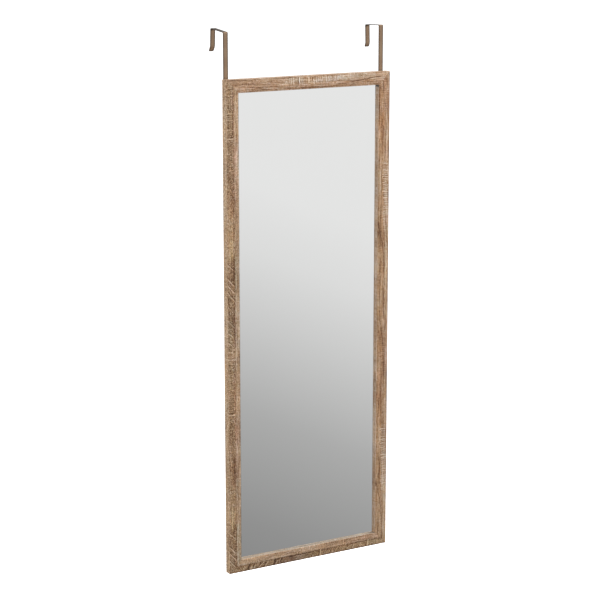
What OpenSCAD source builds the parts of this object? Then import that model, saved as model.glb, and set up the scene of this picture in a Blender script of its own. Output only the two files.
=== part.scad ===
// Over the door mirror.
// X runs to the right across the mirror, Y points away from the viewer into the door, Z is up.
// The origin is the middle of the door's top front edge: the door's top is the plane z = 0 and
// the face of the door that the mirror hangs on is the plane y = 0.

/* [Frame] */
// Outer width of the frame
frame_w = 360; // [300:10:420]
// Outer height of the frame
frame_h = 950; // [800:10:1200]
// Width of the frame's face, from the outer edge to the sight edge
face_w = 25; // [24:1:34]
// Thickness of the frame at its outer side
side_t = 16; // [15:1:20]
// Distance from the outer edge to the ridge line of the face
ridge_at = 16; // [13:0.5:18]
// Height of the ridge above the outer front edge
ridge_rise = 1.8; // [0.6:0.2:3]
// How far the inner slope falls from the ridge to the sight edge
inner_drop = 1.2; // [0.4:0.2:2]
// Radius of the foil-wrapped outer and sight edges
edge_r = 1; // [0.4:0.1:1.6]

/* [Mirror and back] */
// Depth of the glass behind the sight edge
recess = 7; // [6:0.5:9]
// Width of the rebate that holds the glass
rebate_w = 6; // [5:0.5:8]
// Gap between the glass edge and the rebate wall
glass_gap = 1; // [0.5:0.5:2]
// Thickness of the silvered glass
glass_t = 3; // [2:0.5:3]
// Thickness of the filler card
card_t = 1; // [0.5:0.5:1]
// Thickness of the backing board
board_t = 2.5; // [2:0.5:2.5]
// Distance from the frame's back to the face of the door
standoff = 4.5; // [4.4:0.1:6]

/* [Hooks] */
// Width of the steel strip
strip_w = 10; // [8:0.5:12]
// Thickness of the steel strip
strip_t = 1.2; // [1:0.1:1.5]
// Clear space between a hook's upright and its tongue
door_gap = 46; // [40:1:50]
// Height of the door's top above the top of the frame
hook_rise = 85; // [60:1:120]
// Straight length of the left tongue below the door's top
left_tongue = 32; // [20:1:45]
// Length of the left tongue's flared tip
left_flare = 11; // [8:1:16]
// Angle of the left tongue's flared tip, away from the door
left_flare_a = 28; // [15:1:40]
// How far the left tongue leans away from the door, in degrees
left_lean = 3; // [0:0.5:6]
// Straight length of the right tongue below the door's top
right_tongue = 34; // [20:1:45]
// Length of the right tongue's flared tip
right_flare = 8; // [7:1:16]
// Angle of the right tongue's flared tip, away from the door
right_flare_a = 24; // [15:1:40]
// How far the right tongue leans towards the door, in degrees
right_lean = 2; // [0:0.5:4]
// Inner radius of the bends
bend_r = 1.5; // [1:0.1:2]
// How far the left hook's bridge rises towards its tongue, in degrees
left_tilt = 6; // [0:0.5:7]
// How far the right hook's bridge falls towards its tongue, in degrees
right_tilt = 2; // [0:0.5:4]
// Middle of the left strip from the frame's left side
left_inset = 8; // [7.5:0.5:11]
// Middle of the right strip from the frame's right side
right_inset = 11; // [7.5:0.5:12]
// How far each hook can be moved up, and as far down
slide_travel = 12; // [5:1:14]
// Width of the slots in the strips
slot_w = 4.2; // [4.2:0.1:4.6]

/* [Fasteners] */
// Depth of the first screw below the frame's top
screw_top = 24; // [22:1:30]
// Distance between the two screws of a hook
screw_pitch = 40; // [36:1:50]
// Outer radius of the screw's thread
screw_r = 1.75; // [1.5:0.05:1.75]
// Length of the screw below its head
screw_l = 14; // [12:1:15]
// Retaining points along each stile
points_side = 5; // [3:1:7]
// Retaining points along each rail
points_end = 2; // [1:1:3]
// Radius of the bumper pads
pad_r = 6; // [5:0.5:7]

/* [Hidden] */

oak = [0.62, 0.49, 0.38];
oak_dark = [0.53, 0.41, 0.31];
bronze = [0.42, 0.34, 0.27];
zinc = [0.75, 0.75, 0.73];

z_top = -hook_rise;                       // top of the frame
z_bot = z_top - frame_h;                  // bottom of the frame
y_back = -standoff;                       // back of the frame
x_out = frame_w / 2;
wall_u = face_w - rebate_w;               // rebate wall, measured from the outer side
v_ridge = side_t + ridge_rise;            // heights above the frame's back
v_sight = v_ridge - inner_drop;
v_glass = v_sight - recess;               // front of the glass
v_card = v_glass - glass_t;
v_board = v_card - card_t;
v_bback = v_board - board_t;              // back of the board
pane_w = frame_w - 2 * wall_u - 2 * glass_gap;
pane_h = frame_h - 2 * wall_u - 2 * glass_gap;
ply_gap = 0.05;                           // running gap on each face of the sliding strips
washer_t = 0.8;
washer_r = 4.2;
head_r = 3.5;
head_h = 2.1;
point_w = 5;                              // retaining points
point_t = 0.5;
point_in = 6;
point_out = 8;
nail_leg = 5;                             // V-nails
nail_t = 0.5;
nail_in = 8;
nail_sunk = 0.3;
nail_at = [7, 13];
mitre = face_w + 5;

function unit(a) = a / norm(a);
// Points of a corner at b, between a and c, rounded with radius r
function corner(a, b, c, r, n = 5) =
    let (p = unit(a - b), q = unit(c - b), h = acos(p * q) / 2, d = r / tan(h),
         m = b + unit(p + q) * r / sin(h), s = b + p * d - m, e = b + q * d - m,
         w = cross(s, e) > 0 ? 1 : -1, sweep = acos(s * e / (r * r)))
    [for (i = [0:n]) let (t = w * sweep * i / n)
        m + [s[0] * cos(t) - s[1] * sin(t), s[0] * sin(t) + s[1] * cos(t)]];

// Cross-section of the moulding: u runs inwards from the outer side, v forwards from the back
P = [[0, 0], [0, side_t], [ridge_at, v_ridge], [face_w, v_sight], [face_w, v_glass],
     [wall_u, v_glass], [wall_u, 0]];
section = concat(
    corner(P[6], P[0], P[1], 0.6),
    corner(P[0], P[1], P[2], edge_r, 7),
    corner(P[1], P[2], P[3], 3, 3),
    corner(P[2], P[3], P[4], edge_r * 0.8, 6),
    corner(P[3], P[4], P[5], 0.4, 3),
    [P[5], P[6]]);

// One moulding of length l along Z, mitred at both ends
module moulding(l)
    intersection() {
        linear_extrude(l) polygon(section);
        translate([0, side_t * 2, 0]) rotate([90, 0, 0]) linear_extrude(side_t * 3)
            polygon([[-1, -1], [-1, l + 1], [mitre, l - mitre], [mitre, mitre]]);
    }

// Places its children, made as (u, v, length), on one of the four sides
module on_left() translate([-x_out, y_back, z_bot]) mirror([0, 1, 0]) children();
module on_right() translate([x_out, y_back, z_bot]) rotate([0, 0, 180]) children();
module on_bottom() translate([x_out, y_back, z_bot]) rotate([0, -90, 0]) mirror([0, 1, 0]) children();
module on_top() translate([-x_out, y_back, z_top]) rotate([0, 90, 0]) mirror([0, 1, 0]) children();

// Outline of one V-nail with its apex on the mitre, legs along both members
module nail_outline(a)
    polygon([[a, a], [a + nail_leg, a], [a + nail_leg, a + nail_t], [a + nail_t, a + nail_t],
             [a + nail_t, a + nail_leg], [a, a + nail_leg]]);
// V-nails of one corner, from depth v0 to v1 below the frame's back
module corner_nails(v0, v1)
    for (a = nail_at) translate([0, -v0, 0]) rotate([90, 0, 0]) linear_extrude(v1 - v0) nail_outline(a);
// The four corners: signs of x and z
module nails(v0, v1)
    for (sx = [0, 1], sz = [0, 1])
        translate([0, y_back, 0]) mirror([sx, 0, 0]) translate([-x_out, 0, sz == 0 ? z_bot : z_top])
            mirror([0, 0, sz]) corner_nails(v0, v1);

// Places of the retaining points along a member of length l
function stations(l, n) = [for (i = [0:n - 1]) l * (i + 0.5) / n];
// A retaining point in member coordinates: u inwards, driven into the rebate wall
module point_at(z)
    translate([0, v_bback - point_t, z]) rotate([-90, 0, 0]) linear_extrude(point_t)
        polygon([[wall_u - point_in, 0], [wall_u - point_in + 2.5, point_w / 2],
                 [wall_u + point_out, point_w / 2], [wall_u + point_out, -point_w / 2],
                 [wall_u - point_in + 2.5, -point_w / 2]]);
module points_on(l, n) for (z = stations(l, n)) point_at(z);

// Screw places: x and z of each
screws_left = [for (i = [0, 1]) [-x_out + left_inset, z_top - screw_top - i * screw_pitch]];
screws_right = [for (i = [0, 1]) [x_out - right_inset, z_top - screw_top - i * screw_pitch]];
y_head = y_back + strip_t + 2 * ply_gap + washer_t;   // underside of the screw heads
air = standoff - ply_gap - strip_t;       // space between the uprights and the door

module pilot_holes(list)
    for (p = list) translate([p[0], y_back + 1, p[1]]) rotate([90, 0, 0])
        cylinder(r = screw_r, h = screw_l - (y_head - y_back) + 1, $fn = 40);

module left_stile() color(oak) difference() {
    on_left() difference() { moulding(frame_h); points_on(frame_h, points_side); }
    nails(-1, nail_in);
    pilot_holes(screws_left);
}
module right_stile() color(oak) difference() {
    on_right() difference() { moulding(frame_h); points_on(frame_h, points_side); }
    nails(-1, nail_in);
    pilot_holes(screws_right);
}
module top_rail() color(oak_dark) difference() {
    on_top() difference() { moulding(frame_w); points_on(frame_w, points_end); }
    nails(-1, nail_in);
}
module bottom_rail() color(oak_dark) difference() {
    on_bottom() difference() { moulding(frame_w); points_on(frame_w, points_end); }
    nails(-1, nail_in);
}

module corner_v_nails() color(zinc) nails(nail_sunk, nail_in);

// A flat sheet of the pane's size between two heights above the frame's back
module pane(v0, v1, cut = 0)
    translate([-pane_w / 2 + cut, y_back - v1, z_bot + wall_u + glass_gap + cut])
        cube([pane_w - 2 * cut, v1 - v0, pane_h - 2 * cut]);
module mirror_glass() color([0.80, 0.85, 0.88]) pane(v_card, v_glass);
module filler_card() color([0.66, 0.58, 0.45]) pane(v_board, v_card, 1);
module backing_board() color([0.45, 0.33, 0.22]) pane(v_bback, v_board);

module retaining_points() color(zinc) {
    on_left() points_on(frame_h, points_side);
    on_right() points_on(frame_h, points_side);
    on_top() points_on(frame_w, points_end);
    on_bottom() points_on(frame_w, points_end);
}

// Hook: the strip's middle line in the Y-Z plane, with rounded bends
tail_l = screw_top + screw_pitch + slide_travel + slot_w / 2 + 6;   // strip below the frame's top
function turn(a) = [cos(a), sin(a)];
// Middle-line corners of a hook: the bridge's underside meets the line of the upright's door-side
// face at height zf and rises at angle t; then the tongue and its flared tip
function spine(zf, t, lean, tongue, flare, flare_a) =
    let (y0 = y_back + ply_gap + strip_t / 2, h = strip_t / 2,
         a = [y0, zf + h / cos(t) - h * tan(t)],
         w = door_gap + strip_t,
         b = a + turn(t) * w / cos(t),
         c = b + turn(lean - 90) * (tongue + strip_t),
         d = c + turn(lean - 90 + flare_a) * flare)
    [[y0, z_top - tail_l], a, b, c, d];
// The middle line rounded, then offset to both faces
function rounded(s, r, n) = concat([s[0]], corner(s[0], s[1], s[2], r, n),
    corner(s[1], s[2], s[3], r, n), corner(s[2], s[3], s[4], r * 2, 5), [s[4]]);
function normal(m, i) =
    let (a = m[max(i - 1, 0)], b = m[min(i + 1, len(m) - 1)], d = unit(b - a)) [-d[1], d[0]];
function face(m, side) = [for (i = [0:len(m) - 1])
    let (a = i > 0 ? unit(m[i] - m[i - 1]) : unit(m[1] - m[0]),
         b = i < len(m) - 1 ? unit(m[i + 1] - m[i]) : a,
         n = normal(m, i), k = sqrt((1 + a * b) / 2))
    m[i] + (i == 0 || i == len(m) - 1 ? [-a[1], a[0]] : n) * side * strip_t / 2 / k];
function backwards(l) = [for (i = [len(l) - 1:-1:0]) l[i]];

module slot(z) {
    for (s = [-1, 1]) translate([0, 5, z + s * slide_travel]) rotate([90, 0, 0])
        cylinder(r = slot_w / 2, h = 30, $fn = 40);
    translate([-slot_w / 2, -25, z - slide_travel]) cube([slot_w, 30, 2 * slide_travel]);
}
// Takes the two corners off a strip's lower end at height z, around the depth y
module end_cut(y, z, c = 1.6)
    for (s = [0, 1]) mirror([s, 0, 0]) translate([strip_w / 2, y, z]) rotate([90, 0, 0])
        linear_extrude(24, center = true) polygon([[-c, 0], [0, c], [1, c], [1, -1], [-c, -1]]);

module hook(x, zf, t, lean, tongue, flare, flare_a) {
    s = spine(zf, t, lean, tongue, flare, flare_a);
    m = rounded(s, bend_r + strip_t / 2, 9);
    translate([x, 0, 0]) difference() {
        rotate([90, 0, 90]) linear_extrude(strip_w, center = true)
            polygon(concat(face(m, 1), backwards(face(m, -1))));
        slot(z_top - screw_top);
        slot(z_top - screw_top - screw_pitch);
        end_cut(y_back, z_top - tail_l);
        end_cut(s[4][0], s[4][1] - strip_t / 4);
    }
}
// The bridge of the left hook rests on the door at its front edge, that of the right hook at its rear
module left_hook() color(bronze)
    hook(-x_out + left_inset, -air * tan(left_tilt), left_tilt, left_lean, left_tongue, left_flare, left_flare_a);
module right_hook() color(bronze)
    hook(x_out - right_inset, door_gap * tan(right_tilt), -right_tilt, -right_lean, right_tongue, right_flare, right_flare_a);

// Pan head screw with a cross recess, pointing towards -Y from the underside of its head
module screw() rotate([90, 0, 0]) {
    difference() {
        translate([0, 0, -head_h]) rotate_extrude($fn = 48)
            polygon(concat([[0, 0]], [for (a = [0:15:90]) [head_r - 1.3 + 1.3 * sin(a), 1.3 - 1.3 * cos(a)]],
                           [[head_r, head_h], [0, head_h]]));
        for (a = [0, 90]) rotate([0, 0, a]) translate([-2, -0.45, -head_h - 1]) cube([4, 0.9, 2.4]);
    }
    rotate_extrude($fn = 40) polygon(concat([[0, -0.01], [screw_r * 0.7, -0.01]],
        [for (i = [0:floor(screw_l - 4)]) each [[screw_r * 0.7, i + 0.6], [screw_r, i + 1.05], [screw_r * 0.7, i + 1.5]]],
        [[screw_r * 0.7, screw_l - 2.6], [0, screw_l]]));
}
module hook_screws() color(zinc)
    for (p = concat(screws_left, screws_right)) translate([p[0], y_head, p[1]]) screw();
module hook_washers() color(zinc)
    for (p = concat(screws_left, screws_right)) translate([p[0], y_head, p[1]]) rotate([90, 0, 0])
        difference() {
            cylinder(r = washer_r, h = washer_t, $fn = 48);
            translate([0, 0, -1]) cylinder(r = screw_r + 0.2, h = washer_t + 2, $fn = 40);
        }

// Bumper pads: low domes with a flat crown that lies on the door
module pad() rotate([-90, 0, 0]) rotate_extrude($fn = 60)
    polygon(concat([[0, 0], [pad_r, 0], [pad_r, standoff * 0.35]],
        [for (a = [15:15:90]) [pad_r - 2 + 2 * cos(a), standoff * 0.35 + standoff * 0.65 * sin(a)]], [[0, standoff]]));
module bumper_pads() color([0.25, 0.25, 0.25]) {
    for (s = [-1, 1]) translate([s * (x_out - wall_u / 2), y_back, z_bot + 40]) pad();
    for (s = [-1, 1]) translate([s * (x_out - 60), y_back, z_top - wall_u / 2]) pad();
}

left_stile();
right_stile();
top_rail();
bottom_rail();
corner_v_nails();
mirror_glass();
filler_card();
backing_board();
retaining_points();
left_hook();
right_hook();
hook_screws();
hook_washers();
bumper_pads();
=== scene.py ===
import bpy, math
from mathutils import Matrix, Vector

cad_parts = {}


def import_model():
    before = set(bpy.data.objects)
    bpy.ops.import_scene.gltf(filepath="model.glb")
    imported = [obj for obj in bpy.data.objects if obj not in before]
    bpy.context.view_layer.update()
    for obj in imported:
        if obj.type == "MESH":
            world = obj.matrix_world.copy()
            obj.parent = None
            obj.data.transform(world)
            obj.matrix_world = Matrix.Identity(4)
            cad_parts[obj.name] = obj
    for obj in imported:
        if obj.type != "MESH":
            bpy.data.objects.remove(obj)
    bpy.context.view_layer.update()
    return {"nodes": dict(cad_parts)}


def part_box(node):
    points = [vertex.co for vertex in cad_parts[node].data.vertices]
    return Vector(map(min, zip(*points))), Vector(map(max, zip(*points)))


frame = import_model()
nodes = frame["nodes"]
scene = bpy.context.scene
scene.view_settings.view_transform = "Standard"

# Sizes of the frame, in millimetres, as the model has them
X_OUT = 1000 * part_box("right_stile")[1].x          # outer sides
Z_TOP = 1000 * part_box("top_rail")[1].z             # top and bottom of the frame
Z_BOT = 1000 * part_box("bottom_rail")[0].z
Y_BACK = 1000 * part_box("left_stile")[1].y          # back of the mouldings
FACE_W = 25.0
SIDE_T = 16.0
WALL_U = 19.0                                      # rebate wall, from the outer side


# ---------------------------------------------------------------- camera
def camera():
    f_px, yaw, pitch = 1929.0, math.radians(31.32), math.radians(11.83)
    data = bpy.data.cameras.new("camera")
    data.sensor_width = 36.0
    data.lens = f_px / 600 * 36.0
    data.clip_start, data.clip_end = 0.05, 60.0
    cam = bpy.data.objects.new("camera", data)
    cam.location = (-1.899, -3.1045, 0.244)
    cam.rotation_euler = (math.pi / 2 - pitch, 0.0, -yaw)
    scene.collection.objects.link(cam)
    scene.camera = cam


camera()


# ---------------------------------------------------------------- node helpers
class Tree:
    """Short names for building a shader out of nodes."""

    def __init__(self, tree):
        self.t = tree

    def new(self, kind, **props):
        n = self.t.nodes.new(kind)
        for k, v in props.items():
            setattr(n, k, v)
        return n

    def put(self, socket, value):
        if isinstance(value, bpy.types.NodeSocket):
            self.t.links.new(value, socket)
        elif value is not None:
            socket.default_value = value

    def math(self, op, a, b=None, c=None, clamp=False):
        n = self.new("ShaderNodeMath", operation=op, use_clamp=clamp)
        for i, v in enumerate((a, b, c)):
            if v is not None:
                self.put(n.inputs[i], v)
        return n.outputs[0]

    def add(self, a, b): return self.math("ADD", a, b)
    def sub(self, a, b): return self.math("SUBTRACT", a, b)
    def mul(self, a, b): return self.math("MULTIPLY", a, b)
    def div(self, a, b): return self.math("DIVIDE", a, b)
    def absolute(self, a): return self.math("ABSOLUTE", a)
    def least(self, a, b): return self.math("MINIMUM", a, b)
    def most(self, a, b): return self.math("MAXIMUM", a, b)

    def xyz(self, x=0.0, y=0.0, z=0.0):
        n = self.new("ShaderNodeCombineXYZ")
        for i, v in enumerate((x, y, z)):
            self.put(n.inputs[i], v)
        return n.outputs[0]

    def split(self, v):
        n = self.new("ShaderNodeSeparateXYZ")
        self.put(n.inputs[0], v)
        return n.outputs

    def noise(self, vec, scale=1.0, detail=2.0, rough=0.5, dims="3D", distortion=0.0, w=None):
        n = self.new("ShaderNodeTexNoise", noise_dimensions=dims)
        if vec is not None:
            self.put(n.inputs["Vector"], vec)
        if w is not None:
            self.put(n.inputs["W"], w)
        self.put(n.inputs["Scale"], scale)
        self.put(n.inputs["Detail"], detail)
        self.put(n.inputs["Roughness"], rough)
        self.put(n.inputs["Distortion"], distortion)
        return n.outputs["Fac"]

    def remap(self, v, a, b, c=0.0, d=1.0, smooth=True):
        n = self.new("ShaderNodeMapRange", clamp=True)
        n.interpolation_type = "SMOOTHSTEP" if smooth else "LINEAR"
        self.put(n.inputs["Value"], v)
        for k, x in (("From Min", a), ("From Max", b), ("To Min", c), ("To Max", d)):
            self.put(n.inputs[k], x)
        return n.outputs["Result"]

    def ramp(self, v, stops, interpolation="LINEAR"):
        n = self.new("ShaderNodeValToRGB")
        n.color_ramp.interpolation = interpolation
        e = n.color_ramp.elements
        while len(e) < len(stops):
            e.new(0.5)
        for el, (p, c) in zip(e, stops):
            el.position = p
            el.color = (*c, 1.0) if not isinstance(c, float) else (c, c, c, 1.0)
        self.put(n.inputs[0], v)
        return n.outputs[0]

    def mix(self, f, a, b, blend="MIX"):
        n = self.new("ShaderNodeMix", data_type="RGBA", blend_type=blend)
        n.clamp_factor = True
        self.put(n.inputs[0], f)
        for s, v in ((n.inputs[6], a), (n.inputs[7], b)):
            if isinstance(v, tuple):
                v = (*v, 1.0) if len(v) == 3 else v
            self.put(s, v)
        return n.outputs[2]

    def scaled(self, color, f):
        """A colour times a number."""
        n = self.new("ShaderNodeVectorMath", operation="SCALE")
        self.put(n.inputs[0], color)
        self.put(n.inputs["Scale"], f)
        return n.outputs[0]

    def bump(self, height, distance, strength=1.0, normal=None):
        n = self.new("ShaderNodeBump")
        self.put(n.inputs["Height"], height)
        self.put(n.inputs["Distance"], distance)
        self.put(n.inputs["Strength"], strength)
        if normal is not None:
            self.put(n.inputs["Normal"], normal)
        return n.outputs[0]

    def mm(self):
        """Place on the piece, in millimetres in the frame's own axes."""
        tc = self.new("ShaderNodeTexCoord")
        n = self.new("ShaderNodeVectorMath", operation="SCALE")
        self.put(n.inputs[0], tc.outputs["Object"])
        self.put(n.inputs["Scale"], 1000.0)
        return n.outputs[0]


def srgb(r, g, b):
    f = lambda c: c / 12.92 if c <= 0.04045 else ((c + 0.055) / 1.055) ** 2.4
    return tuple(f(c / 255.0) for c in (r, g, b))


def material(name, metallic=0.0, roughness=0.5, specular=0.5, ior=1.5, coat=0.0):
    m = bpy.data.materials.new(name)
    m.use_nodes = True
    g = Tree(m.node_tree)
    g.t.nodes.clear()
    out = g.new("ShaderNodeOutputMaterial")
    p = g.new("ShaderNodeBsdfPrincipled")
    g.t.links.new(p.outputs[0], out.inputs["Surface"])
    p.inputs["Metallic"].default_value = metallic
    p.inputs["Roughness"].default_value = roughness
    p.inputs["Specular IOR Level"].default_value = specular
    p.inputs["IOR"].default_value = ior
    p.inputs["Coat Weight"].default_value = coat
    return m, g, p


def dress(node, m):
    """Gives a carried-over part its material."""
    data = nodes[node].data
    data.materials.clear()
    data.materials.append(m)


# ---------------------------------------------------------------- oak decor foil
PRINT = 525.0                                      # the print on the foil repeats after this length
SEAM = (78, 58, 43)
# The print from its darkest to its palest tone
TONES = [(0.0, srgb(86, 60, 39)), (0.25, srgb(135, 103, 73)), (0.5, srgb(176, 144, 114)),
         (0.75, srgb(205, 176, 148)), (1.0, srgb(232, 210, 184))]


def window(g, v, lo, hi, soft):
    """1 between lo and hi, falling to 0 over soft on both sides."""
    return g.mul(g.remap(v, lo - soft, lo), g.remap(v, hi + soft, hi))


def total(g, items):
    out = None
    for q in items:
        out = q if out is None else g.add(out, q)
    return out


def oak(name, member, seed, start=0.0, tone=(1, 1, 1), inner=(1, 1, 1), edge=(1, 1, 1), wall_shade_and_reflection=(1, 1, 1),
        grit=(1.0, 1.0), lined=(1.0, 1.0), fade=0.0, curves=(), patches=(), saws=(), scores=(), corner_shade=0.0):
    """Saw-marked oak decor on one moulding. L runs along it and S across its unrolled face, from the outer edge.
    grit and lined: how strongly it is dotted and lined, on the outer and on the inner slope
    curves: (from, to, across there, across here, half thickness, darkness, shade on one side)
    patches: (from, to, from, to across, lighter or darker, yellower or pinker, warmer or greyer)
    saws: (from, to, from, to across, strength, lean)
    scores: (along, lean, from, to across, half thickness, strength)"""
    m, g, p = material(name, roughness=0.45, specular=0.5)
    x, y, z = g.split(g.mm())
    depth = g.sub(g.mul(y, -1.0), SIDE_T - Y_BACK)          # 0 at the outer front edge, below it on the side
    from_side = g.sub(X_OUT, g.absolute(x))
    from_end = g.least(g.sub(Z_TOP, z), g.sub(z, Z_BOT))
    if member in ("left", "right"):
        u = from_side
        run = g.sub(Z_TOP, z)
        L = g.mul(g.math("FRACT", g.div(g.add(run, PRINT - start), PRINT)), PRINT)
    else:
        u, run = from_end, x
        L = run
    inside = g.math("GREATER_THAN", u, FACE_W - 0.5)        # the wall behind the sight edge
    S = g.add(u, g.mul(depth, g.sub(1.0, g.mul(inside, 2.0))))
    R = g.add(run, seed * 1371.0)
    side = g.remap(S, 0.5, -0.5)                            # 1 on the moulding's outer side

    # The print wanders a little across the moulding
    wander = g.sub(g.noise(g.xyz(g.mul(R, 0.010), g.mul(S, 0.02), seed * 3.1), 1.0, 2.0, 0.5), 0.5)
    wobble = g.sub(g.noise(g.xyz(g.mul(R, 0.07), g.mul(S, 0.09), seed * 7.7), 1.0, 2.0, 0.55), 0.5)
    Sw = g.add(S, g.add(g.mul(wander, 14.0), g.mul(wobble, 3.0)))

    def grain(across, along, k, detail=2.0, rough=0.55, s=Sw):
        """Noise between about -0.2 and 0.2, across and along in cells a millimetre."""
        return g.sub(g.noise(g.xyz(g.mul(s, across), g.mul(R, along), seed + k), 1.0, detail, rough), 0.5)

    fib = grain(1.5, 0.030, 0.0, 4.0, 0.62)                 # fibres
    streak = grain(0.40, 0.012, 4.0, 3.0, 0.60)             # growth streaks
    line = grain(0.80, 0.014, 61.0, 2.0, 0.60)              # fine lines
    dash = g.remap(grain(0.55, 0.065, 37.0, 2.0, 0.55), 0.06, 0.17)   # short dark dashes
    mottle = grain(0.34, 0.20, 12.0, 3.0, 0.65, S)          # blotches of a few millimetres
    dots = grain(0.62, 0.46, 15.0, 2.0, 0.60, S)            # the saw's teeth over the grain
    ripple = grain(0.12, 0.42, 18.0, 2.0, 0.60, S)          # faint marks across the grain
    cloud = grain(0.07, 0.022, 2.0, 3.0, 0.55)
    pores = g.remap(grain(1.7, 0.14, 9.0, 2.0, 0.6), 0.04, 0.16)
    flecks = g.remap(grain(0.75, 0.36, 31.0, 2.0, 0.6, S), 0.10, 0.24)

    slope = g.remap(S, 14.5, 17.5)                          # 1 on the inner slope
    G = g.add(grit[0], g.mul(slope, grit[1] - grit[0]))
    N = g.add(lined[0], g.mul(slope, lined[1] - lined[0]))
    T = [0.53, g.mul(cloud, 0.55), g.mul(ripple, 0.30), g.mul(fib, 0.55),
         g.mul(N, g.add(g.add(g.mul(streak, 0.95), g.mul(line, 0.75)), g.mul(dash, -0.16))),
         g.mul(G, g.add(g.add(g.mul(mottle, 1.30), g.mul(dots, 1.75)), g.mul(flecks, 0.16)))]
    # Two ways the hue wanders: yellow to pink, and warm to grey
    H = [g.mul(grain(0.10, 0.045, 21.0, 2.0, 0.5, S), 5.0), g.mul(grain(0.30, 0.20, 27.0, 2.0, 0.6, S), 6.0)]
    K = [g.mul(grain(0.10, 0.040, 41.0, 2.0, 0.5, S), 9.0), g.mul(grain(0.26, 0.15, 47.0, 2.0, 0.6, S), 11.0),
         g.mul(grain(0.04, 0.010, 53.0, 2.0, 0.5), 7.0)]

    # Paler and darker places of the print
    ragged = g.add(g.mul(mottle, 7.0), g.mul(wobble, 8.0))
    Sr, Lr = g.add(S, ragged), g.add(L, g.mul(ragged, 2.4))
    for a, b, c, d, light, yellow, warm in patches:
        where = g.mul(window(g, Lr, a, b, 12.0), window(g, Sr, c, d, 2.2))
        for out, amount in ((T, light), (H, yellow), (K, warm)):
            if amount:
                out.append(g.mul(where, amount))

    # Growth lines that drift across the moulding, with a comb of pores along them; a few straight dark lines along an
    # outer arris in these lists are painted shade
    comb = g.remap(grain(0.7, 0.42, 33.0, 2.0, 0.6), -0.09, 0.10, 0.70, 1.45)
    for a, b, ca, cb, thick, amount, below in curves:
        d = g.sub(S, g.add(g.remap(L, a, b, ca, cb, smooth=False), g.mul(wobble, 3.0)))
        here = window(g, L, min(a, b), max(a, b), 8.0)
        T.append(g.mul(g.mul(g.mul(g.remap(g.absolute(d), thick, thick * 0.1), here), comb), -amount))
        if below:
            away = d if below > 0 else g.mul(d, -1.0)
            fall = g.mul(g.remap(away, -0.6, 0.8), g.remap(away, 13.0, 2.0))
            T.append(g.mul(g.mul(fall, here), -abs(below)))

    # Saw marks: fine lines across the grain, pale and dark, in patches
    bent = g.add(R, g.mul(wobble, 6.0))
    cut = []
    for a, b, c, d, amount, lean in saws:
        at = g.add(bent, g.mul(S, lean))
        n = g.sub(g.noise(None, 0.44, 1.0, 0.5, dims="1D", w=at), 0.5)
        drift = g.sub(g.noise(None, 0.09, 1.0, 0.5, dims="1D", w=g.add(at, 1500.0)), 0.5)
        k = g.sub(g.noise(None, 0.50, 1.0, 0.5, dims="1D", w=g.add(at, 700.0)), 0.5)
        some = g.remap(g.noise(None, 0.11, 1.0, 0.5, dims="1D", w=g.add(at, 350.0)), 0.40, 0.60, 0.30, 1.0)
        phase = g.add(g.mul(at, 1.50), g.add(g.mul(n, 1.6), g.mul(drift, 7.0)))
        teeth = g.mul(g.remap(g.math("SINE", phase), 0.10, 1.0), some)
        lines = g.sub(g.mul(teeth, 0.80), g.add(0.13, g.mul(g.remap(k, 0.07, 0.18), 0.26)))
        where = g.mul(g.mul(window(g, Lr, a, b, 9.0), window(g, Sr, c, d, 1.8)), amount)
        q = g.mul(g.mul(g.add(lines, g.mul(n, 0.25)), g.remap(dots, -0.12, 0.10, 0.6, 1.15)), where)
        T.append(q)
        cut.append(g.most(q, 0.0))
    # Single scores across the grain, pale, or dark where the strength is below 0
    for at, lean, c, d, thick, amount in scores:
        away = g.sub(g.sub(L, at), g.add(g.mul(g.sub(S, c), lean), g.mul(wobble, 3.0)))
        away = g.mul(g.sub(g.math("FRACT", g.add(g.div(away, PRINT), 1.5)), 0.5), PRINT)
        here = g.mul(window(g, S, c, d, 1.2), amount)
        q = g.mul(g.mul(g.remap(g.absolute(away), thick, thick * 0.25), here), g.remap(dots, -0.12, 0.10, 0.65, 1.1))
        beside = g.remap(g.absolute(g.add(away, thick * 1.9)), thick, thick * 0.25)
        T.append(g.sub(q, g.mul(g.mul(beside, here), 0.40)))
        if amount > 0:
            cut.append(q)
    T.append(g.mul(pores, -0.16))

    T = total(g, T)
    base = g.ramp(T, TONES)
    if fade:                                                # the paler the print, the greyer
        K.append(g.mul(g.sub(g.least(T, 0.95), 0.53), -fade))
    h, k = total(g, H), total(g, K)
    hue = g.xyz(*[g.add(1.0, g.add(g.mul(h, a), g.mul(k, b))) for a, b in ((-0.004, 0.022), (0.010, -0.002), (-0.020, -0.030))])
    base = g.mix(1.0, base, hue, blend="MULTIPLY")

    # Tone multipliers on this moulding, a little different on its outer side, inner slope and inner wall; on the inner
    # wall they are painted shade and a painted reflection of the mirror's cool grey
    t = g.mix(slope, tone, inner)
    t = g.mix(side, t, edge)
    if corner_shade:                                              # painted shade on the wall's upper end, deep in the corner
        wall_shade_and_reflection = g.scaled(wall_shade_and_reflection, g.remap(g.add(run, g.mul(wobble, 8.0)), FACE_W + 6.5, FACE_W + 2.5, 1.0, 1.0 - corner_shade))
    t = g.mix(g.remap(S, 25.0, 26.5), t, wall_shade_and_reflection)
    base = g.mix(1.0, base, t, blend="MULTIPLY")

    # Hairline of the mitre joint
    seam = g.remap(g.absolute(g.sub(from_side, from_end)), 0.10, 0.36, 0.5, 0.0)
    base = g.mix(seam, base, srgb(*SEAM))

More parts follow.
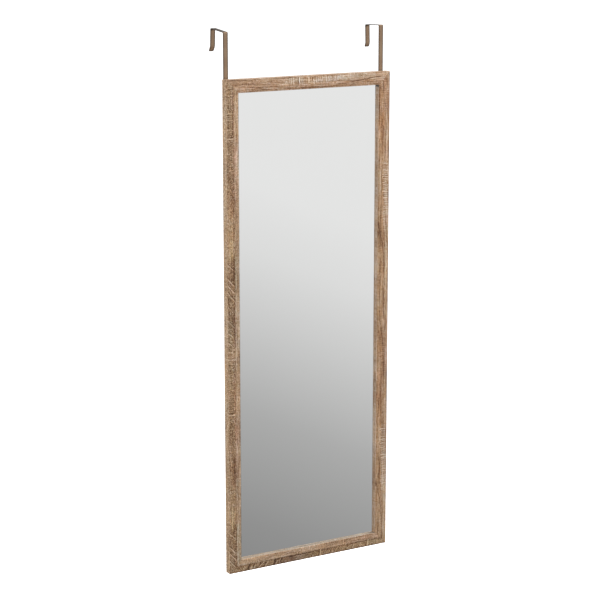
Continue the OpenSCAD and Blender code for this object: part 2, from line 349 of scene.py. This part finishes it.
    # Bare fibreboard on the back, inside the foil's lap, and on the rebate wall
    at_back = g.math("GREATER_THAN", y, Y_BACK - 0.25)
    off_lap = g.remap(g.add(u, g.mul(g.noise(g.xyz(g.mul(R, 0.4), 0.0, seed), 1.0, 2.0, 0.6), 0.5)), 4.2, 4.5)
    in_rebate = g.mul(g.math("GREATER_THAN", u, WALL_U - 0.2), g.math("GREATER_THAN", y, -14.0))
    bare = g.most(g.mul(at_back, off_lap), in_rebate)
    chips = g.noise(g.xyz(x, y, z), 0.9, 5.0, 0.7)
    board = g.ramp(chips, [(0.30, srgb(128, 96, 66)), (0.5, srgb(158, 124, 90)), (0.72, srgb(186, 154, 118))])
    base = g.mix(bare, base, board)

    g.put(p.inputs["Base Color"], base)
    cut = total(g, cut) if cut else g.math("ADD", 0.0, 0.0)
    rough = g.add(g.remap(fib, -0.2, 0.2, 0.36, 0.50), g.mul(bare, 0.40))
    g.put(p.inputs["Roughness"], g.sub(rough, g.mul(cut, 0.08)))
    h = g.add(g.mul(fib, 0.6), g.sub(g.add(g.mul(cut, 0.8), g.mul(dots, 0.5)), g.mul(pores, 0.5)))
    h = g.add(h, g.mul(g.mul(bare, chips), 1.2))
    g.put(p.inputs["Normal"], g.bump(h, 0.00006, 0.8))
    return m


# Places are in mm: along the stiles downwards from the print's own start, along the rails from the middle
dress("left_stile", oak("oak_left", "left", 1.0, start=108.0, grit=(1.35, 0.7), lined=(0.95, 1.4),
      tone=(1.025, 0.983, 0.940), inner=(0.967, 0.990, 1.000), edge=(0.95, 0.94, 0.87), wall_shade_and_reflection=(1.0, 1.0, 1.05),
      patches=[(42, 107, 7, 12, -0.11, 0.4, 0.3), (25, 125, 15.5, 21, 0.02, -1.6, 1.2), (445, 525, 16, 25, 0.0, -1.2, 1.8), (92, 140, 9, 15, -0.12, -0.8, 1.6), (100, 142, 2, 9, -0.05, 0.5, 0.5),
               (150, 222, 3, 12, 0.06, 1.5, 1.0), (196, 220, 6, 11, 0.14, 1.5, 0.4), (225, 265, 9, 15.5, -0.20, 0.3, 0.6),
               (228, 300, 0, 14, -0.07, 0.5, 0.0), (300, 350, 1, 12, -0.13, 0.5, -1.2), (355, 400, 2, 13, -0.08, 1.2, 0.0),
               (340, 385, 13.5, 17, -0.18, -2.0, -0.6), (440, 527, 12.5, 15.5, -0.025, -0.8, 1.2), (430, 470, 2, 9, -0.05, 1.5, 0.0),
               (0, 40, 2, 8, -0.05, 1.0, 0.0), (480, 520, 4, 12, -0.07, 1.2, 0.0), (225, 300, 17, 25, 0.06, 1.0, -1.6),
               (440, 520, 18, 23, 0.02, 1.0, 0.5), (0, 40, 16, 24, 0.02, -1.5, 0.8)],
      curves=[(60, 190, 11, 14, 1.2, 0.12, 0), (405, 520, 14.0, 14.5, 1.1, 0.11, 0), (300, 400, 15, 15.5, 1.1, 0.18, 0),
              (5, 95, 14.5, 14.0, 1.0, 0.15, 0), (228, 330, 15.5, 15.2, 1.1, 0.18, 0), (0, 525, 18.2, 18.2, 1.8, -0.07, 0), (222, 505, 18.8, 18.8, 2.0, -0.08, 0),
              (0, 525, 14.0, 14.0, 1.6, 0.07, 0)],
      saws=[(422, 522, 1, 13, 0.55, 0.05), (2, 60, 2, 13, 0.45, 0.05)],
      scores=[(0.8, 0.0, 0, 15, 1.9, 0.50), (510, 0.0, 6, 14, 1.3, 0.34), (418, 0.0, 0, 16, 1.7, 0.50), (404, -0.05, 1, 9, 1.3, 0.34),
              (450, 0.0, 8, 15, 1.2, 0.28), (236, 0.9, 0, 13, 1.6, 0.52), (263, 1.0, 0, 13, 1.7, 0.58), (276, 1.0, 0, 14, 1.7, 0.62),
              (291, 1.0, 0, 14, 1.7, 0.58), (316, 1.0, 0, 13, 1.6, 0.52), (343, 1.0, 0, 13, 1.6, 0.52),
              (367, 0.8, 1, 12, 1.5, 0.42), (386, 0.8, 1, 12, 1.5, 0.42)]))
dress("right_stile", oak("oak_right", "right", 2.0, start=175.0, grit=(0.6, 0.45), lined=(1.8, 1.4), fade=6.0, corner_shade=0.75,
      tone=(0.938, 0.902, 0.885), inner=(1.145, 1.085, 1.000), edge=(0.95, 0.93, 0.88), wall_shade_and_reflection=(1.09, 1.16, 1.28),
      patches=[(8, 60, 4, 16, 0.06, 0.0, -0.6), (60, 130, 4, 13, 0.14, 0.0, -1.0), (130, 225, 2, 9, 0.06, 1.6, 0.0),
               (340, 475, 14, 24, -0.05, -1.0, 0.8), (365, 420, 8, 13, -0.04, -1.5, 0.5), (235, 300, 3, 9, 0.03, 1.5, 0.0),
               (420, 520, 19, 25, 0.03, -0.5, 1.2), (360, 470, 3, 12, -0.04, 0.6, 0.4), (370, 420, 1, 6, 0.04, -2.5, -0.5)],
      curves=[(122, 160, 24.5, 17.5, 1.4, 0.34, 0.05), (160, 198, 17.5, 12, 1.4, 0.38, 0.05), (198, 235, 12, 11.5, 1.3, 0.32, 0.04),
              (235, 300, 12, 12, 1.4, 0.40, 0.04), (192, 300, 21, 22, 1.2, 0.26, 0), (300, 330, 22, 18.5, 1.3, 0.32, 0),
              (330, 356, 18.5, 14, 1.3, 0.34, 0), (300, 330, 11, 8.5, 1.3, 0.34, 0), (330, 356, 8.5, 5, 1.2, 0.32, 0),
              (356, 440, 14.5, 16, 1.1, 0.16, 0), (360, 470, 10, 9, 1.0, 0.14, 0), (360, 520, 18, 18, 1.1, 0.28, 0),
              # painted shade: the dark line 0.9 mm in from the outer side, all along, holds down the lit rounded outer
              # arris
              (400, 500, 9.5, 10.5, 1.1, 0.14, 0), (0, 525, 0.9, 0.9, 2.0, 0.30, 0),
              (0, 525, 6.2, 6.2, 4.6, -0.10, 0), (155, 445, 12.0, 12.0, 2.0, 0.10, 0), (0, 525, 17.2, 17.2, 1.2, 0.05, 0)],
      saws=[(2, 60, 3, 17, 1.0, 0.05), (60, 128, 2, 15, 0.85, 0.05), (330, 420, 3, 20, 0.3, 0.1)],
      scores=[(335, 0.0, 3, 9, 1.2, 0.30), (38.5, 0.1, 9, 18, 1.2, 0.50), (69.5, 0.0, 6, 16, 1.2, 0.50), (49, 0.0, 9, 15, 1.0, 0.35),
              (112, 0.0, 5, 13, 1.1, 0.35)]))
dress("top_rail", oak("oak_top", "top", 3.0, grit=(0.65, 0.6), lined=(1.3, 1.3), fade=6.0,
      tone=(1.075, 1.085, 1.130), inner=(1.140, 1.078, 1.080), edge=(1.12, 1.12, 1.14), wall_shade_and_reflection=(1.0, 1.0, 1.05),
      patches=[(-45, 8, 3, 14, 0.03, 0.5, 0.0), (14, 60, 6, 13, 0.15, -0.5, -1.8), (60, 140, 1, 9, 0.04, 0.5, -1.0), (-48, -18, 4, 11, 0.09, 0.0, -1.0), (-60, 62, 17.5, 21, 0.09, 0.0, 0.0), (-60, 62, 12.5, 14.5, -0.05, 0.0, 0.0),
               (60, 160, 2, 8, 0.03, 0.0, 0.0),
               (-165, -70, 4, 15, -0.06, -0.5, 1.2), (-90, -55, 15, 21, 0.03, 0.5, 0.8)],
      curves=[(62, 107, 20.5, 16, 1.4, 0.30, 0.04), (107, 132, 16, 12, 1.5, 0.36, 0.05), (132, 152, 12, 9.5, 1.5, 0.40, 0.05),
              (152, 178, 9.5, 8, 1.3, 0.32, 0.04), (-150, -112, 17, 18.5, 1.2, 0.36, 0), (-100, 10, 22.5, 23, 1.0, 0.24, 0),
              (-165, -60, 11, 13, 1.1, 0.14, 0), (-180, 70, 2.3, 2.3, 1.0, 0.16, 0),
              (-112, -60, 18.5, 17.5, 1.2, 0.20, 0), (-180, 180, 23.2, 23.2, 1.5, 0.12, 0)],
      saws=[(-52, 14, 3, 14, 0.8, 0.05), (14, 64, 3, 12, 0.8, 0.05), (70, 130, 1, 8, 0.3, 0.05)],
      scores=[(-24.5, 0.0, 5, 17, 1.1, 0.40), (7.2, 0.0, 8, 17, 1.2, 0.45), (-11, 0.0, 12, 21, 1.0, -0.22)]))
dress("bottom_rail", oak("oak_bottom", "bottom", 4.0, grit=(1.3, 0.8), lined=(0.7, 0.9),
      tone=(0.966, 0.930, 0.865), inner=(0.967, 0.945, 0.930), edge=(0.95, 0.93, 0.88), wall_shade_and_reflection=(0.806, 0.95, 1.11),
      patches=[(-178, -135, 1, 14, -0.11, 0.8, 1.4), (-72, -40, 3, 15, -0.24, -1.5, -0.3), (-40, -6, 2, 14, -0.09, -1.6, -1.8),
               (-8, 22, 4, 14, -0.11, 2.2, 0.6), (-118, -76, 2, 13, -0.05, 0.3, 0.6), (26, 60, 2, 12, -0.04, -0.3, 0.4),
               (60, 130, 3, 14, 0.03, 0.8, 1.2), (-165, -110, 17, 24, 0.05, 0.8, -0.6), (90, 160, 17, 24, -0.02, -1.0, 0.4),
               (138, 178, 2, 12, 0.03, 2.0, -0.6)],
      curves=[(-170, -60, 16.2, 16.2, 0.9, -0.30, 0), (-60, 5, 16.5, 16.2, 0.9, -0.24, 0), (28, 150, 15.0, 14.6, 1.2, 0.24, 0),
              # painted shade: the dark line 1.3 mm in from the bottom edge, all along, stands for the shade on the
              # rounded arris facing down
              (-180, 180, 1.3, 1.3, 2.0, 0.40, 0), (-100, 22, 14.6, 14.6, 1.0, 0.22, 0),
              (-180, 180, 14.4, 14.4, 1.6, 0.12, 0), (-180, 180, 18.0, 18.0, 1.6, -0.07, 0), (-180, 180, 6.5, 6.5, 4.0, -0.05, 0)],
      saws=[(28, 130, 1, 14, 0.5, 0.6), (-30, 160, 16.5, 25, 0.5, 0.05)],
      scores=[(24, 0.05, 1, 16, 1.8, 0.76), (136, 0.05, 2, 16, 2.0, 0.85), (-134, 0.4, 2, 9, 3.2, 0.61), (-152, 0.4, 3, 12, 1.4, 0.55),
              (-117, 1.0, 2, 14, 1.8, 0.92), (-126, 0.2, 4, 12, 1.4, 0.61), (-102, 0.6, 2, 15, 1.7, 0.73), (-78, 0.4, 2, 10, 1.7, 0.55),
              (7.5, 0.0, 0, 6, 1.5, 0.67), (88, 1.6, 7, 10, 2.0, 0.61), (101, 0.2, 4, 12, 1.4, 0.49), (116, 0.3, 3, 14, 1.4, 0.37),
              (-170, 0.4, 1, 9, 1.3, 0.43), (50, 0.8, 3, 8, 1.5, 0.43),
              (-141, 0.4, 4, 14, 3.4, -0.37), (-129, 0.5, 9, 12, 2.0, -0.50), (-114, 0.3, 9, 15, 2.2, -0.55),
              (-83, 0.3, 3, 15, 2.4, -0.55), (-66, 0.2, 8, 15, 2.0, -0.40), (-47, 1.4, 11, 14, 3.0, -0.55), (7, 0.0, 8, 12, 1.5, -0.39),
              (40, 0.8, 11, 15, 4.0, -0.29), (64, 0.6, 5, 9, 2.6, -0.33), (86, 0.2, 11, 15, 1.7, -0.46)]))


# ---------------------------------------------------------------- mirror, card and board
def mirror():
    m, g, p = material("silvered_glass", metallic=1.0, roughness=0.015)
    P = g.mm()
    haze = g.noise(P, 0.006, 3.0, 0.5)
    x, y, z = g.split(P)
    c = g.mix(haze, (0.895, 0.900, 0.893), (0.908, 0.912, 0.906))
    # Painted shade: a darker line beside the stiles, standing in for the rebate's shadow seen through the glass, where
    # the silvering lies a glass thickness behind the surface
    from_edge = g.sub(X_OUT - FACE_W, g.absolute(x))
    line = g.mul(g.remap(from_edge, 4.9, 4.5), g.remap(from_edge, 2.6, 3.0))
    c = g.mix(g.mul(line, 0.50), c, (0.45, 0.46, 0.45))
    g.put(p.inputs["Base Color"], c)
    dust = g.remap(g.noise(P, 0.35, 4.0, 0.7), 0.60, 0.80, 0.0, 0.02)
    g.put(p.inputs["Roughness"], g.add(g.remap(haze, 0.3, 0.7, 0.004, 0.012), dust))
    return m


def card():
    m, g, p = material("filler_card", roughness=0.85, specular=0.2)
    P = g.mm()
    fibre = g.noise(P, 0.8, 5.0, 0.7)
    g.put(p.inputs["Base Color"], g.ramp(fibre, [(0.3, srgb(150, 130, 100)), (0.7, srgb(186, 166, 134))]))
    g.put(p.inputs["Normal"], g.bump(fibre, 0.00008, 0.6))
    return m


def hardboard():
    m, g, p = material("fibreboard_back", roughness=0.62, specular=0.3)
    P = g.mm()
    x, y, z = g.split(P)
    fibre = g.noise(P, 1.1, 6.0, 0.72)
    cloud = g.noise(P, 0.02, 3.0, 0.5)
    # Imprint of the wire screen that the board was pressed on
    net = g.mul(g.math("SINE", g.mul(g.add(x, z), 2.6)), g.math("SINE", g.mul(g.sub(x, z), 2.6)))
    c = g.ramp(fibre, [(0.28, srgb(86, 58, 38)), (0.5, srgb(120, 84, 56)), (0.75, srgb(156, 116, 82))])
    c = g.mix(g.remap(cloud, 0.35, 0.65, 0.0, 0.45), c, srgb(104, 72, 47))
    c = g.scaled(c, g.remap(net, -0.6, 0.6, 0.94, 1.04, smooth=False))
    g.put(p.inputs["Base Color"], c)
    g.put(p.inputs["Roughness"], g.remap(fibre, 0.3, 0.7, 0.56, 0.72))
    g.put(p.inputs["Normal"], g.bump(g.add(g.mul(net, 0.5), fibre), 0.00012, 0.7))
    return m


dress("mirror_glass", mirror())
dress("filler_card", card())
dress("backing_board", hardboard())


# ---------------------------------------------------------------- metal and rubber
def coated_steel(name, middle, tone, tongue, under, slope, tip_z, tip_tone, end_z):
    """Bronze-brown coat on one bent strip, with painted shade along the strip's edges, on the bridge's top, at the
    tongue's top and at the upright's foot, and a painted highlight on the bend above the upright.
    under and slope: height of the bridge's underside at the upright, and how it rises from there
    tip_z: where the flared tip begins, tip_tone: how much paler it is painted, as painted light, end_z: its lower end,
    which is dark"""
    m, g, p = material(name, roughness=0.5, specular=0.25)
    P = g.mm()
    x, y, z = g.split(P)
    peel = g.noise(P, 1.4, 3.0, 0.55)
    fleck = g.noise(P, 5.0, 2.0, 0.6)
    cloud = g.noise(P, 0.05, 3.0, 0.5)
    c = g.mix(g.remap(cloud, 0.35, 0.65), srgb(148, 122, 99), srgb(158, 133, 109))
    c = g.mix(g.remap(fleck, 0.58, 0.70, 0.0, 0.5), c, srgb(186, 160, 132))
    c = g.mix(g.remap(fleck, 0.42, 0.32, 0.0, 0.5), c, srgb(120, 96, 77))
    # Painted shade: the coat is darkened towards the strip's edges
    rim = g.add(g.absolute(g.sub(x, middle)), g.mul(g.sub(peel, 0.5), 0.8))
    shade = g.remap(rim, 2.3, 3.7, tone * 1.05, tone * 0.50)
    # Painted shade on the tops of the bridge and the tongue, which the lamps light from above; painted highlight on the
    # bend above the upright
    painted_top_shade = g.remap(g.sub(z, g.add(under, g.mul(g.add(y, 3.25), slope))), -2.8, -0.6)
    painted_bend_highlight = g.remap(y, 0.5, -2.0)                           # painted highlight: the bend above the upright is painted pale
    shade = g.mul(shade, g.sub(1.0, g.mul(painted_top_shade, g.sub(g.remap(y, 42.0, 39.0, 0.60, 0.80), g.mul(painted_bend_highlight, 0.88)))))
    # Painted shade at the upright's foot, darker towards where it meets the frame's top
    shade = g.mul(shade, g.remap(z, -85.0, -80.0, 0.66, 1.0))
    back = g.math("GREATER_THAN", y, 20.0)
    shade = g.mul(shade, g.add(1.0, g.mul(back, tongue - 1.0)))
    # Painted light: the flared tip is made paler by tip_tone, for the light it would get from below
    tip = g.mul(back, g.remap(z, tip_z + 1.5, tip_z - 1.5))
    shade = g.mul(shade, g.add(1.0, g.mul(tip, tip_tone - 1.0)))
    shade = g.mul(shade, g.sub(1.0, g.mul(back, g.remap(z, end_z + 3.0, end_z + 1.0, 0.0, 0.45))))
    g.put(p.inputs["Base Color"], g.scaled(c, shade))
    g.put(p.inputs["Roughness"], g.add(g.remap(peel, 0.3, 0.7, 0.44, 0.56), g.mul(fleck, 0.04)))
    g.put(p.inputs["Normal"], g.bump(g.add(peel, g.mul(fleck, 0.3)), 0.00004, 0.7))
    return m


def zinc(name, seed, base=(176, 178, 178)):
    m, g, p = material(name, metallic=1.0, roughness=0.32)
    P = g.mm()
    x, y, z = g.split(P)
    grain = g.noise(g.xyz(g.mul(x, 1.2), g.mul(y, 1.2), g.add(g.mul(z, 0.5), seed)), 3.0, 4.0, 0.6)
    stain = g.noise(P, 0.6, 3.0, 0.6)
    c = g.mix(g.remap(grain, 0.35, 0.65), srgb(*[v - 26 for v in base]), srgb(*[v + 22 for v in base]))
    c = g.mix(g.remap(stain, 0.55, 0.75, 0.0, 0.35), c, srgb(150, 142, 122))
    g.put(p.inputs["Base Color"], c)
    g.put(p.inputs["Roughness"], g.remap(grain, 0.3, 0.7, 0.24, 0.44))
    g.put(p.inputs["Normal"], g.bump(grain, 0.00003, 0.6))
    return m


def rubber():
    m, g, p = material("soft_rubber", roughness=0.7, specular=0.35)
    P = g.mm()
    grain = g.noise(P, 2.6, 4.0, 0.65)
    dust = g.noise(P, 0.5, 3.0, 0.6)
    c = g.ramp(grain, [(0.3, srgb(38, 37, 36)), (0.7, srgb(56, 55, 53))])
    c = g.mix(g.remap(dust, 0.52, 0.75, 0.0, 0.35), c, srgb(104, 100, 94))
    g.put(p.inputs["Base Color"], c)
    g.put(p.inputs["Roughness"], g.remap(grain, 0.3, 0.7, 0.62, 0.80))
    g.put(p.inputs["Normal"], g.bump(grain, 0.00006, 0.6))
    return m


for hook, *coat in (("left_hook", 0.95, 0.86, -0.34, 0.105, -28.0, 1.60, -37.4), ("right_hook", 0.84, 0.96, 1.61, -0.035, -34.6, 1.1, -42.0)):
    ends = [1000 * c.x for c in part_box(hook)]
    dress(hook, coated_steel(hook + "_coat", sum(ends) / 2, *coat))
dress("hook_screws", zinc("zinc_screws", 0.0))
dress("hook_washers", zinc("zinc_washers", 5.0, (184, 186, 186)))
dress("retaining_points", zinc("zinc_points", 9.0, (160, 160, 158)))
dress("corner_v_nails", zinc("zinc_nails", 3.0, (150, 150, 148)))
dress("bumper_pads", rubber())


# ---------------------------------------------------------------- edges
def by_angle(name, degrees):
    """A node group that shades a mesh smooth, with its edges sharp above an angle."""
    t = bpy.data.node_groups.new(name, "GeometryNodeTree")
    t.interface.new_socket("Geometry", in_out="INPUT", socket_type="NodeSocketGeometry")
    t.interface.new_socket("Geometry", in_out="OUTPUT", socket_type="NodeSocketGeometry")
    a, b = t.nodes.new("NodeGroupInput"), t.nodes.new("NodeGroupOutput")
    angle = t.nodes.new("GeometryNodeInputMeshEdgeAngle")
    over = t.nodes.new("FunctionNodeCompare")
    over.data_type, over.operation = "FLOAT", "GREATER_THAN"
    over.inputs[1].default_value = math.radians(degrees)
    n = t.nodes.new("GeometryNodeSetMeshNormal")
    n.mode = "SHARPNESS"
    t.links.new(a.outputs[0], n.inputs["Mesh"])
    t.links.new(angle.outputs["Unsigned Angle"], over.inputs[0])
    t.links.new(over.outputs[0], n.inputs["Edge Sharpness"])
    t.links.new(n.outputs[0], b.inputs[0])
    return t


SMOOTH = by_angle("smooth_by_angle", 50.0)


def finish_edges(name, width, segments=2, angle=30.0):
    """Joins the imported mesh's split faces, rounds its sharp edges a little and smooths the rest."""
    o = nodes[name]
    w = o.modifiers.new("weld", "WELD")
    w.merge_threshold = 2e-6
    b = o.modifiers.new("bevel", "BEVEL")
    b.width = width
    b.segments = segments
    b.limit_method = "ANGLE"
    b.angle_limit = math.radians(angle)
    b.use_clamp_overlap = True
    b.miter_outer = "MITER_ARC"
    s = o.modifiers.new("smooth", "NODES")
    s.node_group = SMOOTH
    f = o.modifiers.new("weighted", "WEIGHTED_NORMAL")
    f.keep_sharp = True
    f.weight = 80


# ---------------------------------------------------------------- stage and light
def stage():
    data = bpy.data.meshes.new("floor")
    s = 60.0
    data.from_pydata([(-s, -s, 0), (s, -s, 0), (s, s, 0), (-s, s, 0)], [], [(0, 1, 2, 3)])
    floor = bpy.data.objects.new("floor", data)
    floor.location = (0, 0, -2.0)
    scene.collection.objects.link(floor)
    m, g, p = material("floor_white", roughness=0.9, specular=0.1)
    p.inputs["Base Color"].default_value = (0.9, 0.9, 0.9, 1)
    p.inputs["Emission Color"].default_value = (1, 1, 1, 1)
    p.inputs["Emission Strength"].default_value = 1.0
    floor.data.materials.append(m)
    floor.visible_glossy = False
    floor.visible_diffuse = False


def lamp(name, toward, distance, level, size, color=(1, 1, 1)):
    """A round soft light that stands in the direction toward from the frame's middle and gives that level there."""
    d = Vector(toward).normalized()
    data = bpy.data.lights.new(name, "AREA")
    data.shape = "DISK"
    data.size = size
    data.energy = level * math.pi ** 2 * distance ** 2
    data.color = color
    o = bpy.data.objects.new(name, data)
    o.location = Vector((0, 0, (Z_TOP + Z_BOT) / 2000)) + d * distance
    o.rotation_euler = d.to_track_quat("Z", "Y").to_euler()
    scene.collection.objects.link(o)
    o.visible_camera = False
    o.visible_glossy = False
    return o


def world():
    w = bpy.data.worlds.new("studio")
    w.use_nodes = True
    scene.world = w
    g = Tree(w.node_tree)
    g.t.nodes.clear()
    out = g.new("ShaderNodeOutputWorld")
    tc = g.new("ShaderNodeTexCoord")
    x, y, z = g.split(tc.outputs["Generated"])
    up = g.mul(g.math("ARCSINE", z), 180.0 / math.pi)
    round_ = g.mul(g.math("ARCTAN2", g.absolute(x), g.absolute(y)), 180.0 / math.pi)
    # What polished faces see: a pale room that darkens towards the floor, a little lighter at its sides
    t = g.add(up, g.remap(round_, 25.0, 38.0, -1.7, 1.7))
    t = g.remap(t, -60.0, 20.0, 0.0, 1.0, smooth=False)
    level = lambda deg, v: ((deg + 60.0) / 80.0, srgb(v, v, v))
    room = g.ramp(t, [level(-60, 185), level(-32, 134), level(-23, 126), level(-19, 152), level(-15.8, 179.5),
                      level(-12.9, 212), level(-11, 229), level(-9, 238), level(-4, 240), level(20, 251)])
    lp = g.new("ShaderNodeLightPath")
    plain = g.mix(g.remap(up, -40.0, 10.0), (0.20, 0.20, 0.20), (AMBIENT, AMBIENT, AMBIENT * 1.01))
    c = g.mix(lp.outputs["Is Glossy Ray"], plain, room)
    c = g.mix(lp.outputs["Is Camera Ray"], c, (1.0, 1.0, 1.0))
    bg = g.new("ShaderNodeBackground")
    g.put(bg.inputs["Color"], c)
    g.t.links.new(bg.outputs[0], out.inputs[0])


AMBIENT = 0.36
stage()
world()
lamp("key", (1.2, -0.5, 0.8), 3.4, 1.28, 1.1)
lamp("fill", (-0.7, -0.1, 0.2), 3.4, 0.60, 1.6)
lamp("behind", (0.0, 1.0, 0.1), 3.4, 0.55, 1.6)

for n in ("left_hook", "right_hook"):
    finish_edges(n, 0.00018)
